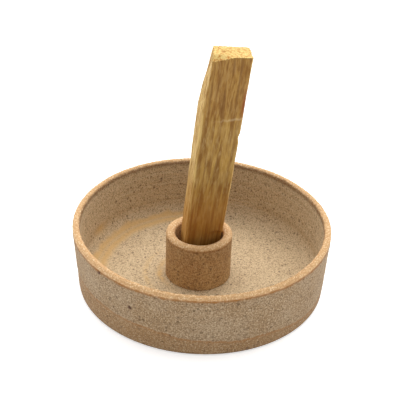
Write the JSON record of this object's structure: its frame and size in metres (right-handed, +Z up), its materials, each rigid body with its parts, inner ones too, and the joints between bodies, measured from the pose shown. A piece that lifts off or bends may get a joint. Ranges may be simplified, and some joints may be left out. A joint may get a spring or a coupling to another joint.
{
  "type": "incense burner",
  "caption": "Round speckled stoneware dish with a central collar that holds a leaning, split palo santo stick and catches its ash.",
  "frame": {"origin": "centre of the dish's underside, on the surface that it stands on", "axes": "+Z up out of the dish; +X to the right, the way the stick leans; -Y towards the viewer"},
  "size_m": [0.108, 0.108, 0.1064],
  "materials": {
    "speckled_stoneware": "matte speckled glaze on the walls and floor, bare toasted clay on the rim and foot band",
    "collar_stoneware": "matte speckled glaze, warmer and thinner than on the dish, bare clay on the lip",
    "palo_santo_wood": "unfinished split wood, sawn across the ends"
  },
  "bodies": {
    "burner": {"dish": "speckled_stoneware", "socket_collar": "collar_stoneware"},
    "stick": {"palo_santo_stick": "palo_santo_wood"}
  },
  "joints": [
    {"name": "stick_lift", "type": "slide", "parent": "burner", "child": "stick", "axis": [0.0969, 0, 0.9953], "range_m": [0, 0.045]}
  ]
}
